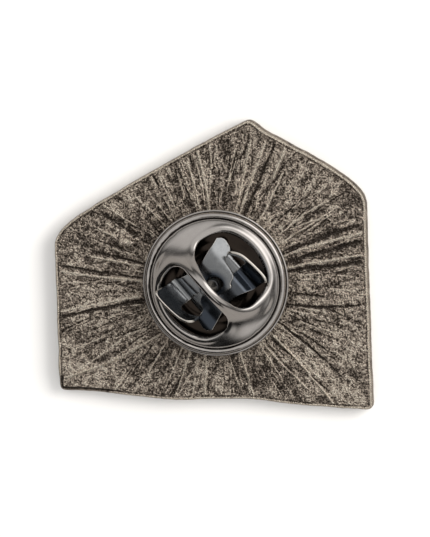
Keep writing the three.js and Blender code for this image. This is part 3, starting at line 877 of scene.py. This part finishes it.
def bent_sheet(name, outline, hole, bend, place, body, node):
    """A sheet cut to an outline and bent to a surface, its edges rounded.

    The outline and hole are places on the flat sheet, and bend gives the middle of the bent one there.
    """
    border, hole = refined(outline, CLIP_STEP), refined(hole, CLIP_STEP)
    border = border if loop_area(border) > 0 else border[::-1]
    hole = hole if loop_area(hole) < 0 else hole[::-1]
    insides = [moved_in(border, EDGE_ROUND), moved_in(hole, EDGE_ROUND)]
    grid = grid_inside(border, CLIP_GRID, CLIP_MARGIN)
    grid = grid[~inside_loop(grid, hole) & (distance_to_loop(grid, hole) > CLIP_MARGIN)]
    border_end, hole_end = len(border), len(border) + len(hole)
    rings = [list(range(border_end)), list(range(border_end, hole_end))]
    places, faces, sources = triangulated(np.vstack([*insides, grid]), rings, 0, 1e-7)
    number = {source: k for k, merged in enumerate(sources) for source in merged}
    middle = places[faces].mean(1)
    faces = faces[inside_loop(middle, insides[0]) & ~inside_loop(middle, insides[1])]

    def lifted(spots, offset):
        step = 0.03
        across = bend(spots + [step, 0]) - bend(spots - [step, 0])
        along = bend(spots + [0, step]) - bend(spots - [0, step])
        normal = np.cross(across, along)
        return bend(spots) + normal / np.linalg.norm(normal, axis=1)[:, None] * offset

    half = CLIP_SHEET / 2
    points = [lifted(places, half), lifted(places, -half)]
    total = 2 * len(places)
    quads = []
    for loop, ring in zip((border, hole), rings):
        inner = np.array([number[i] for i in ring])
        previous = inner
        for turn in np.radians(EDGE_TURNS):
            inset = EDGE_ROUND * (1 - abs(math.sin(turn)))
            level = math.copysign(half - EDGE_ROUND * (1 - math.cos(turn)), turn)
            points.append(lifted(moved_in(loop, inset), level))
            current = total + np.arange(len(loop))
            total += len(loop)
            quads.append(strip(previous, current))
            previous = current
        quads.append(strip(previous, inner + len(places)))
    sides = np.vstack([faces, faces[:, ::-1] + len(places)])
    piece = new_piece(name, place(np.vstack(points)), [sides, *quads], body, "spring_steel", node)
    edit_mesh(piece, lambda work: bmesh.ops.recalc_face_normals(work, faces=work.faces))
    past_sides = np.arange(total) - 2 * len(places)
    # painted highlight: the rounded edge round the sheet's outline is marked to be made light
    store(piece, "painted_edge_highlight", (past_sides >= 0) & (past_sides < len(EDGE_TURNS) * len(border)))
    return piece


def build_wing(part):
    """A clip half: a bowed wing, a ramp down and up, a pad round the post and a leaf beyond it."""
    h = LEAF_HEIGHTS[part]
    section = spline([
        (3.74, 3.34), (3.56, 2.55), (3.26, 1.85), (2.85, 1.36), (2.42, 1.08), (2.0, 1.08), (1.68, h - 0.15),
        (1.3, h), (0.3, h), (-0.9, h - 0.02), (-1.8, h - 0.2), (-2.6, 1.22), (-3.3, 1.0),
    ], 10)
    along = line_lengths(section)
    tongue = TONGUES[part]

    def at(x, y):
        return x, np.interp(-y, -section[:, 0], along)

    neck = np.interp(-2.0, -section[:40, 1], along[:40])
    outline = np.vstack([
        curve((2.5, 0.35), (2.5, 0.0), (2.1, 0.0)),
        curve((-0.8, 0.0), (-1.2, 0.0), (-1.2, 0.4)),
        curve((-1.2, neck - 0.2), (-1.2, neck), (-0.9, neck)), [(0.0, neck + 0.02)],
        curve((0.0, neck + 0.02), (0.3, neck + 0.05), (0.3, neck + 0.35)), [at(0.3, 1.6)],
        curve(at(0.2, 1.3), at(-0.95, 1.3), at(-1.05, 0.35)), [at(-1.05, -0.3)],
        curve(at(-0.95, -0.5), at(tongue - 0.1, -0.62), at(tongue, -1.05)),
        curve(at(tongue, -1.05), at(tongue + 0.05, -1.6), at(0.45, -1.75)),
        curve(at(0.45, -1.75), at(0.98, -1.85), at(1.05, -2.2)),
        curve(at(1.12, -2.5), at(1.2, -2.78), at(1.6, -2.86)),
        curve(at(2.0, -2.92), at(2.25, -2.92), at(2.5, -2.7)),
        curve(at(2.6, -2.52), at(2.68, -2.45), at(2.6, -2.3)),
        [at(2.3, -1.45), at(1.87, -0.3), at(1.8, 0.3), at(1.95, 1.1), at(2.3, 2.0)],
    ])
    slot_loop = np.array([at(x, y) for x, y in stadium(GRIP_SLOT, GRIP_RUN)])
    side = 1 if part == "wing_a" else -1

    def bend(spots):
        y, z = (np.interp(spots[:, 1], along, column) for column in section.T)
        bow = np.interp(spots[:, 0], WING_CURL[:, 0], WING_CURL[:, 1]) * smoothstep(1.0, 2.1, z)
        return np.column_stack([spots[:, 0], y - bow, z])

    def place(points):
        return clutch_to_pin(points * np.array([side, side, 1]))

    wing = bent_sheet(f"clip_{part}_sheet", outline, slot_loop, bend, place, part, f"clip_{part}")
    places = node_points(wing.name)
    height = places[:, 2] - CLUTCH_Z
    post_shade = smoothstep(1.35, 0.75, np.linalg.norm(places[:, :2] - AXIS, axis=1))
    # painted shade: wing_a's low sheet and the sheet round the post are marked dark
    store(wing, "painted_shade", np.maximum(PAINTED_SHADE_BY_PART[part] * smoothstep(2.0, 1.3, height), 0.9 * post_shade))
    return wing


def build_bridge():
    """The low arch between the clip's two halves, built in its resting shape."""
    low, high = corners_mm("clip_bridge")
    rise = high[2] - low[2] - CLIP_SHEET
    turn = np.linspace(0, math.pi, 60)
    foot = low[2] - CLUTCH_Z + CLIP_SHEET / 2
    section = np.column_stack([2.3 * np.cos(turn), foot + rise * np.sin(turn)])
    along = line_lengths(section)
    end = along[-1]
    outline = np.vstack([
        curve((1.1, 0.2), (1.1, 0.0), (0.9, 0.0)),
        curve((-0.9, 0.0), (-1.1, 0.0), (-1.1, 0.2)),
        curve((-1.1, end - 0.2), (-1.1, end), (-0.9, end)),
        curve((0.9, end), (1.1, end), (1.1, end - 0.2)),
    ])
    angle = np.linspace(0, TAU, 48, endpoint=False)
    ring = np.column_stack([0.9 * np.cos(angle), end / 2 + 1.0 * np.sin(angle)])

    def bend(spots):
        y, z = (np.interp(spots[:, 1], along, column) for column in section.T)
        return np.column_stack([spots[:, 0], y, z])

    piece = bent_sheet("clip_bridge_arch", outline, ring, bend, clutch_to_pin, "cap", "clip_bridge")
    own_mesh(piece)
    return piece


# ---------------- materials

SPECKLE_AND_GLINT_SPAN = 2.8  # how far the speckle, partly the grain's tone and partly painted glints, moves the brightness, from end to end


def set_inputs(node, **inputs):
    """Sets inputs of a node, with _ for the spaces in their names."""
    for key, value in inputs.items():
        node.inputs[key.replace("_", " ")].default_value = value


def add(tree, kind, **inputs):
    """A new node with some of its inputs set."""
    node = tree.nodes.new(kind)
    set_inputs(node, **inputs)
    return node


def computed(tree, operation, *values):
    """The result of a sum or product of outputs and plain numbers."""
    node = tree.nodes.new("ShaderNodeMath")
    node.operation = operation
    for socket, value in zip(node.inputs, values):
        if isinstance(value, bpy.types.NodeSocket):
            tree.links.new(value, socket)
        else:
            socket.default_value = value
    return node.outputs["Value"]


def new_material(name, **inputs):
    """A material with its node tree and its principled shader, some of whose inputs are set."""
    material = bpy.data.materials.new(name)
    material.use_nodes = True
    shader = material.node_tree.nodes["Principled BSDF"]
    set_inputs(shader, **inputs)
    return material, material.node_tree, shader


def ramp(tree, value, target, stops):
    """Feeds an input with a colour, or a grey, that follows a value by (position, colour) stops."""
    node = tree.nodes.new("ShaderNodeValToRGB")
    elements = node.color_ramp.elements
    elements.remove(elements[-1])
    for k, (position, colour) in enumerate(stops):
        element = elements.new(position) if k else elements[0]
        element.position = position
        element.color = (*(colour if isinstance(colour, tuple) else (colour,) * 3), 1)
    tree.links.new(value, node.inputs["Fac"])
    tree.links.new(node.outputs["Color"], target)


def object_noise(tree, size_mm, detail=4, roughness=0.55, stretch=(1, 1, 1)):
    """The value of noise in the object's own space, with features of a size in millimetres."""
    place = tree.nodes.new("ShaderNodeTexCoord")
    scale = add(tree, "ShaderNodeMapping", Scale=stretch)
    texture = add(tree, "ShaderNodeTexNoise", Scale=1 / (size_mm * MM), Detail=detail, Roughness=roughness)
    tree.links.new(place.outputs["Object"], scale.inputs["Vector"])
    tree.links.new(scale.outputs["Vector"], texture.inputs["Vector"])
    return texture.outputs["Fac"]


def add_bump(tree, shader, height, strength, depth_mm):
    """Roughens a shader by a value for height."""
    bump = add(tree, "ShaderNodeBump", Strength=strength, Distance=depth_mm * MM)
    tree.links.new(height, bump.inputs["Height"])
    tree.links.new(bump.outputs["Normal"], shader.inputs["Normal"])


def kept_value(tree, name):
    """A value that a piece keeps on its vertices."""
    node = tree.nodes.new("ShaderNodeAttribute")
    node.attribute_name = name
    return node.outputs["Fac"]


def antique_material():
    """Dark patina in the hollows, rubbed nickel on the high places with a painted highlight along the plate's edge,
    and a fine speckle over both that is partly the grain's tone and partly painted glints.
    """
    material, tree, shader = new_material("antique_nickel_cast", Metallic=1.0)
    speckle_and_glints = object_noise(tree, 0.11, detail=4, roughness=0.6)
    wear_and_highlight = computed(tree, "MULTIPLY_ADD", speckle_and_glints, SPECKLE_AND_GLINT_SPAN, kept_value(tree, "wear_and_highlight"))
    wear_and_highlight = computed(tree, "SUBTRACT", wear_and_highlight, SPECKLE_AND_GLINT_SPAN / 2)
    ramp(tree, wear_and_highlight, shader.inputs["Base Color"], [
        (0.0, (0.050, 0.041, 0.034)), (0.28, (0.140, 0.118, 0.100)), (0.55, (0.39, 0.33, 0.275)),
        (0.78, (0.87, 0.76, 0.64)), (1.0, (1.0, 0.93, 0.80)),
    ])
    ramp(tree, wear_and_highlight, shader.inputs["Roughness"], [(0.0, 0.42), (0.5, 0.30), (1.0, 0.20)])
    add_bump(tree, shader, speckle_and_glints, 1.0, 0.12)
    return material


def metal_material(name, dark, light, smooth, rough, grain, strength, depth_mm=0.02, cloud_mm=0.9):
    """A metal whose colour and roughness drift over soft clouds, with a grain of its own."""
    material, tree, shader = new_material(name, Metallic=1.0)
    cloud = object_noise(tree, cloud_mm, detail=5, roughness=0.6)
    ramp(tree, cloud, shader.inputs["Base Color"], [(0.3, dark), (0.7, light)])
    ramp(tree, cloud, shader.inputs["Roughness"], [(0.3, smooth), (0.7, rough)])
    add_bump(tree, shader, object_noise(tree, **grain), strength, depth_mm)
    return material


def tint(material, attribute, colour):
    """Mixes a colour into a metal's own, by a value kept on its vertices."""
    tree = material.node_tree
    target = tree.nodes["Principled BSDF"].inputs["Base Color"]
    own = target.links[0].from_socket
    mix = tree.nodes.new("ShaderNodeMix")
    mix.data_type = "RGBA"
    mix.inputs["B"].default_value = (*colour, 1)
    tree.links.new(kept_value(tree, attribute), mix.inputs["Factor"])
    tree.links.new(own, mix.inputs["A"])
    tree.links.new(mix.outputs["Result"], target)


def enamel_material(slot):
    """Glossy enamel with slight mottling, a clear coat and tiny pits."""
    colour = next(m["base_color"] for m in frame["record"]["materials"] if m["slot"] == slot)
    material, tree, shader = new_material(f"{slot}_glaze", Roughness=0.18, Coat_Weight=0.6, Coat_Roughness=0.05)
    mottle = object_noise(tree, 0.8, detail=5, roughness=0.65)
    dark = tuple(c * 0.82 for c in colour[:3])
    light = tuple(min(1, c * 1.12 + 0.01) for c in colour[:3])
    ramp(tree, mottle, shader.inputs["Base Color"], [(0.35, dark), (0.65, light)])
    add_bump(tree, shader, object_noise(tree, 0.15, detail=3), 0.06, 0.02)
    return material


# ---------------- stage

VIEW_LEAN = math.radians(10)
VIEW_SIDE = math.radians(40)
VIEW_ROLL = math.radians(0.6)
VIEW_HEIGHT = 42.12
LENS = 400
SENSOR = 36
AIM_ABOVE_CLUTCH = 1.17
RIM_LEVEL = 0.8

KEY_SIDE = (0.78, 0.32, 0.72)
KEY_DISTANCE = 260
KEY_SIZE = 150
KEY_POWER = 0.6
DARK_SIDE = (-0.75, -0.66, 0.0)
WINDOW_SIDE = (0.60, 0.52, 0.62)
FLOOR_HALF = 1200


def build_camera():
    """A long lens nearly straight above, leaning a little to the right and up."""
    data = bpy.data.cameras.new("camera")
    data.lens = LENS
    data.sensor_width = SENSOR
    camera = bpy.data.objects.new("camera", data)
    bpy.context.scene.collection.objects.link(camera)
    back = Vector((
        math.sin(VIEW_LEAN) * math.cos(VIEW_SIDE),
        math.sin(VIEW_LEAN) * math.sin(VIEW_SIDE),
        math.cos(VIEW_LEAN),
    ))
    level = Vector((0, 1, 0)).cross(back).normalized()
    upright = back.cross(level)
    right = level * math.cos(VIEW_ROLL) - upright * math.sin(VIEW_ROLL)
    up = upright * math.cos(VIEW_ROLL) + level * math.sin(VIEW_ROLL)
    rim = CLUTCH_Z + RIM_LEVEL
    aim = Vector((AXIS[0], AXIS[1], rim)) + up * AIM_ABOVE_CLUTCH
    distance = VIEW_HEIGHT * LENS / SENSOR - (rim - BACK_Z)
    turn = Matrix((right, up, back)).transposed().to_4x4()
    camera.matrix_world = Matrix.Translation((aim + back * distance) * MM) @ turn
    data.clip_start, data.clip_end = 0.005, 10
    bpy.context.scene.camera = camera


def build_key_light():
    """A soft square light on the upper right, turned to face the pin. Metal doesn't mirror it."""
    data = bpy.data.lights.new("key", "AREA")
    data.shape = "SQUARE"
    data.size = KEY_SIZE * MM
    data.energy = KEY_POWER
    data.color = (1.0, 0.97, 0.93)
    lamp = bpy.data.objects.new("key", data)
    bpy.context.scene.collection.objects.link(lamp)
    side = Vector(KEY_SIDE).normalized()
    lamp.location = side * KEY_DISTANCE * MM
    lamp.rotation_mode = "QUATERNION"
    lamp.rotation_quaternion = side.to_track_quat("Z", "Y")
    lamp.visible_glossy = False


def mirrored_apart(tree, seen, mirrored, surface):
    """Gives a surface one shader, and another where metal mirrors it."""
    path = tree.nodes.new("ShaderNodeLightPath")
    mix = tree.nodes.new("ShaderNodeMixShader")
    tree.links.new(path.outputs["Is Glossy Ray"], mix.inputs["Fac"])
    tree.links.new(seen, mix.inputs[1])
    tree.links.new(mirrored, mix.inputs[2])
    tree.links.new(mix.outputs["Shader"], surface)


def build_world():
    """A white tent that metal mirrors, open to a dark room below the picture, with a window to the upper right.

    Matt surfaces and the camera see plain white instead.
    """
    world = bpy.data.worlds.new("studio")
    bpy.context.scene.world = world
    world.use_nodes = True
    tree = world.node_tree
    tree.nodes.clear()
    place = tree.nodes.new("ShaderNodeTexCoord")

    def toward(direction, low, high, full, empty=0.0):
        """A value that goes from empty to full as a ray turns towards a direction."""
        dot = tree.nodes.new("ShaderNodeVectorMath")
        dot.operation = "DOT_PRODUCT"
        dot.inputs[1].default_value = Vector(direction).normalized()
        tree.links.new(place.outputs["Generated"], dot.inputs[0])
        fade = add(tree, "ShaderNodeMapRange", From_Min=low, From_Max=high, To_Min=empty, To_Max=full)
        fade.interpolation_type = "SMOOTHSTEP"
        tree.links.new(dot.outputs["Value"], fade.inputs["Value"])
        return fade.outputs["Result"]

    tent = toward((0, 0, 1), 0.08, 0.50, full=0.56, empty=0.07)
    gap = toward(DARK_SIDE, 0.32, 0.52, full=0.015, empty=1.0)
    window = toward(WINDOW_SIDE, 0.80, 0.96, full=1.10)
    ground = toward((0, 0, -1), 0.0, 0.6, full=0.45)
    strength = computed(tree, "ADD", computed(tree, "MULTIPLY_ADD", tent, gap, window), ground)
    mirrored = add(tree, "ShaderNodeBackground", Color=(1.0, 0.96, 0.92, 1))
    tree.links.new(strength, mirrored.inputs["Strength"])
    seen = add(tree, "ShaderNodeBackground", Color=(1.0, 0.99, 0.98, 1), Strength=0.90)
    surface = tree.nodes.new("ShaderNodeOutputWorld").inputs["Surface"]
    mirrored_apart(tree, seen.outputs["Background"], mirrored.outputs["Background"], surface)


def build_floor():
    """A plain white floor that the pin lies on, dim where metal mirrors it."""
    half = FLOOR_HALF * MM
    mesh = bpy.data.meshes.new("floor")
    mesh.from_pydata([(-half, -half, 0), (half, -half, 0), (half, half, 0), (-half, half, 0)], [], [(0, 1, 2, 3)])
    floor = bpy.data.objects.new("floor", mesh)
    bpy.context.scene.collection.objects.link(floor)
    floor.location.z = -0.02 * MM
    material, tree, shader = new_material(
        "floor_white", Base_Color=(0.86, 0.855, 0.845, 1), Roughness=0.9, Specular_IOR_Level=0.1)
    dim = add(tree, "ShaderNodeBsdfDiffuse", Color=(0.30, 0.285, 0.27, 1))
    surface = tree.nodes["Material Output"].inputs["Surface"]
    mirrored_apart(tree, shader.outputs["BSDF"], dim.outputs["BSDF"], surface)
    mesh.materials.append(material)


# ---------------- assembly

build_camera()
build_world()
build_floor()
build_key_light()
bpy.context.scene.view_settings.view_transform = "Standard"

loops = {node: refined(enamel_loop(node)) for node in ENAMEL_NODES}
build_plate(list(loops.values())).data.materials.append(antique_material())
glazes = {}
for node, loop in loops.items():
    fill = build_enamel(node, loop)
    slot_name = fill["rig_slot"]
    if slot_name not in glazes:
        glazes[slot_name] = enamel_material(slot_name)
    fill.data.materials.append(glazes[slot_name])

post_metal = metal_material(
    "post_steel_drawn", dark=(0.22, 0.215, 0.205), light=(0.30, 0.295, 0.28), smooth=0.24, rough=0.375,
    grain={"size_mm": 0.2}, strength=0.15)
solder_metal = metal_material(
    "solder_matt", dark=(0.36, 0.35, 0.34), light=(0.52, 0.51, 0.49), smooth=0.36, rough=0.5625,
    grain={"size_mm": 0.15}, strength=0.5)
clip_metal = metal_material(
    "spring_steel_smooth", dark=(0.23, 0.245, 0.26), light=(0.31, 0.325, 0.34), smooth=0.16, rough=0.25,
    grain={"size_mm": 0.3}, strength=0.1)
# painted shade in dark blue-black on the clip
tint(clip_metal, "painted_shade", (0.035, 0.05, 0.075))
# painted highlight in pale grey along the clip's outer edges
tint(clip_metal, "painted_edge_highlight", (0.80, 0.77, 0.72))
nickel = metal_material(
    "nickel_plate_bright", dark=(0.60, 0.575, 0.555), light=(0.70, 0.68, 0.665), smooth=0.13, rough=0.22,
    grain={"size_mm": 0.35, "detail": 6, "roughness": 0.7, "stretch": (1, 0.25, 1)}, strength=0.12,
    depth_mm=0.012, cloud_mm=1.6)
# painted shade: near black on the dish and cap where they carry their shade marks
tint(nickel, "inside", (0.045, 0.036, 0.030))

build_post().data.materials.append(post_metal)
build_fillet().data.materials.append(solder_metal)
for piece in (build_clutch_base(), build_clutch_cap()):
    piece.data.materials.append(nickel)
for piece in (build_wing("wing_a"), build_wing("wing_b"), build_bridge()):
    piece.data.materials.append(clip_metal)
